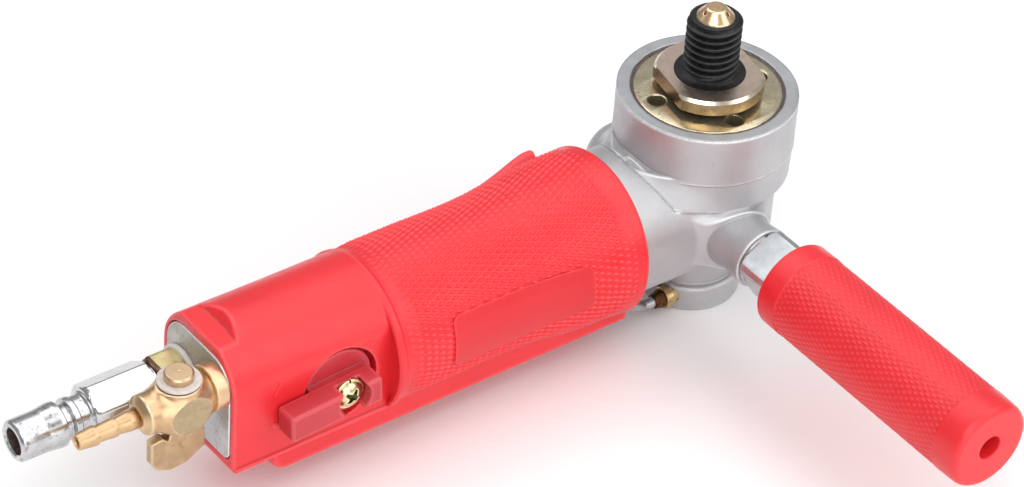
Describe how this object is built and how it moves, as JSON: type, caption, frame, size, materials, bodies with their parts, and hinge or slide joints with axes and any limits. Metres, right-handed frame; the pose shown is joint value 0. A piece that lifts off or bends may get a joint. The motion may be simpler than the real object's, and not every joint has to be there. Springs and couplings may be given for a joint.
{
  "type": "pneumatic wet polisher",
  "caption": "Right-angle air-driven wet polisher with a threaded hollow spindle, water nozzle, knurled grip, side handle, rotary throttle, air plug and water cock.",
  "frame": {"origin": "spindle axis at the top face of the wrench flange, where a backing pad seats", "axes": "+Z along the spindle away from the gear head, +X from the air inlet towards the gear head (motor axis), side handle along -Y"},
  "size_m": [0.2517, 0.1688, 0.0979],
  "materials": {
    "red_grip": "moulded, knurled, satin",
    "red_knob": "moulded, semi-gloss",
    "silver_cast": "silver paint on a casting",
    "block_alu": "machined face, as cast elsewhere",
    "zinc_yellow": "yellow zinc plated steel",
    "flange_zinc": "yellow zinc plated steel, ground top",
    "black_steel": "black oxide, oiled",
    "brass": "machined brass",
    "chrome": "chrome plated",
    "zinc_steel": "bright zinc plated",
    "white_plastic": "sealing washer",
    "steel": "ground",
    "seal_rubber": "nitrile",
    "felt": "pressed felt",
    "vane_laminate": "cloth laminate"
  },
  "bodies": {
    "housing": {"gear_head_housing": "silver_cast", "bearing_retainer": "zinc_yellow", "grip_shell": "red_grip", "motor_housing": "block_alu", "inlet_washer": "white_plastic", "inlet_adapter": "brass", "air_plug": "chrome", "cock_body": "brass", "cock_collar": "brass", "water_tube": "zinc_steel", "tube_nut": "brass", "handle_stud": "zinc_steel", "handle_lock_washer": "zinc_steel", "handle_grip": "red_grip", "upper_bearing_outer": "steel", "upper_bearing_balls": "steel", "spindle_seal": "seal_rubber", "lower_needle_cup": "steel", "lower_needles": "steel", "water_seal": "seal_rubber", "pinion_bearing_outer": "steel", "pinion_bearing_balls": "steel", "motor_cylinder": "steel", "front_end_plate": "steel", "rear_end_plate": "steel", "front_bearing_outer": "steel", "front_bearing_balls": "steel", "rear_bearing_outer": "steel", "rear_bearing_balls": "steel", "cylinder_dowels": "steel", "motor_gasket": "white_plastic", "wave_washer": "steel", "neck_oring": "seal_rubber", "throttle_circlip": "steel", "inlet_screen": "zinc_steel", "silencer_pad": "felt", "tube_ferrule": "brass"},
    "spindle_set": {"spindle": "black_steel", "wrench_flange": "flange_zinc", "water_nozzle": "brass", "crown_gear": "steel", "spindle_key": "steel", "gear_circlip": "steel", "upper_bearing_inner": "steel"},
    "rotor_set": {"rotor": "steel", "vanes": "vane_laminate", "pinion": "steel", "pinion_bearing_inner": "steel", "front_bearing_inner": "steel", "rear_bearing_inner": "steel"},
    "throttle_set": {"throttle_knob": "red_knob", "throttle_screw": "zinc_yellow", "throttle_spool": "brass", "throttle_orings": "seal_rubber"},
    "cock_set": {"cock_plug": "brass", "cock_cap": "brass", "cock_washer": "white_plastic"}
  },
  "joints": [
    {"name": "spindle_spin", "type": "hinge", "parent": "housing", "child": "spindle_set", "pos_m": [0, 0, 0], "axis": [0, 0, 1], "continuous": true},
    {"name": "rotor_spin", "type": "hinge", "parent": "housing", "child": "rotor_set", "pos_m": [-0.07, 0, -0.0415], "axis": [1, 0, 0], "continuous": true},
    {"name": "throttle_turn", "type": "hinge", "parent": "housing", "child": "throttle_set", "pos_m": [-0.1379, -0.018, -0.0411], "axis": [0, 1, 0], "range_deg": [0, 90]},
    {"name": "cock_turn", "type": "hinge", "parent": "housing", "child": "cock_set", "pos_m": [-0.1844, -0.0092, -0.0305], "axis": [0, 0, 1], "range_deg": [0, 90]}
  ],
  "couplings": [
    {"joint": "rotor_spin", "follows": "spindle_spin", "ratio": 3}
  ]
}
